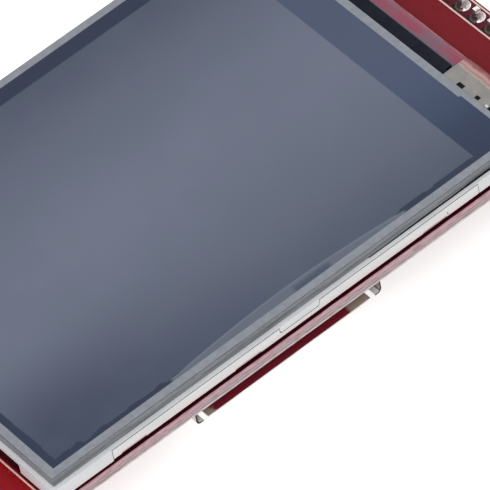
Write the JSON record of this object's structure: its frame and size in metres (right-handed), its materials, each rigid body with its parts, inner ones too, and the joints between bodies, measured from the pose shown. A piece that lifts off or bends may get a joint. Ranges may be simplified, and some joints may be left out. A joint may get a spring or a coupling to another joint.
{
  "type": "tft display module",
  "caption": "Colour display module: a backlit panel under a resistive touch screen on a red circuit board, with a pin header and a memory card socket behind.",
  "frame": {"origin": "centre of the four mounting holes, on the circuit board's front face", "axes": "+X towards the pin header and the flexes, +Y along the screen's short side, +Z out of the screen"},
  "size_m": [0.086, 0.05, 0.014],
  "materials": {
    "board_red": "glass-fibre board under glossy red solder mask",
    "ink_white": "white screen-printed ink on the board",
    "foam_grey": "double-sided foam tape",
    "tray_steel": "pressed sheet, pale satin",
    "frame_white": "moulded white, satin",
    "film_white": "matt white film",
    "guide_clear": "clear moulded",
    "prism_clear": "clear, finely ribbed",
    "flex_amber": "polyimide film",
    "lamp_yellow": "satin resin",
    "polariser_dark": "anti-glare film",
    "cell_glass": "thin clear glass",
    "chip_grey": "bare silicon",
    "flex_pink": "glossy flexible circuit",
    "tape_black": "satin black tape",
    "touch_glass": "clear sheet glass with ground edges",
    "spacer_grey": "grey adhesive ring",
    "touch_film": "glossy clear film",
    "tail_grey": "grey flexible circuit",
    "plastic_black": "moulded black",
    "pin_gold": "gold plated, bright",
    "solder": "bright solder",
    "shell_steel": "bright stainless sheet",
    "socket_plastic": "moulded heat-resistant plastic",
    "lead_tin": "tin plated",
    "resistor_black": "glazed ceramic",
    "capacitor_tan": "bare ceramic"
  },
  "bodies": {
    "root": {"circuit_board": "board_red", "mounting_tape": "foam_grey", "rear_tray": "tray_steel", "moulded_frame": "frame_white", "reflector_sheet": "film_white", "light_guide": "guide_clear", "diffuser_sheet": "film_white", "lower_prism_sheet": "prism_clear", "upper_prism_sheet": "prism_clear", "lamp_strip": "flex_amber", "lamps": "lamp_yellow", "rear_polariser": "polariser_dark", "array_glass": "cell_glass", "filter_glass": "cell_glass", "front_polariser": "polariser_dark", "driver_chip": "chip_grey", "display_flex": "flex_pink", "flex_cover_tape": "tape_black", "bonding_tape": "tape_black", "touch_glass": "touch_glass", "touch_spacer": "spacer_grey", "touch_film": "touch_film", "touch_tail": "tail_grey", "header_strip": "plastic_black", "header_pins": "pin_gold", "header_solder": "solder", "socket_shell": "shell_steel", "socket_base": "socket_plastic", "socket_contacts": "pin_gold", "controller_body": "plastic_black", "controller_leads": "lead_tin", "regulator_body": "plastic_black", "transistor_body": "plastic_black", "package_leads": "lead_tin", "resistors": "resistor_black", "resistor_ends": "lead_tin", "capacitors": "capacitor_tan", "capacitor_ends": "lead_tin"}
  },
  "joints": []
}
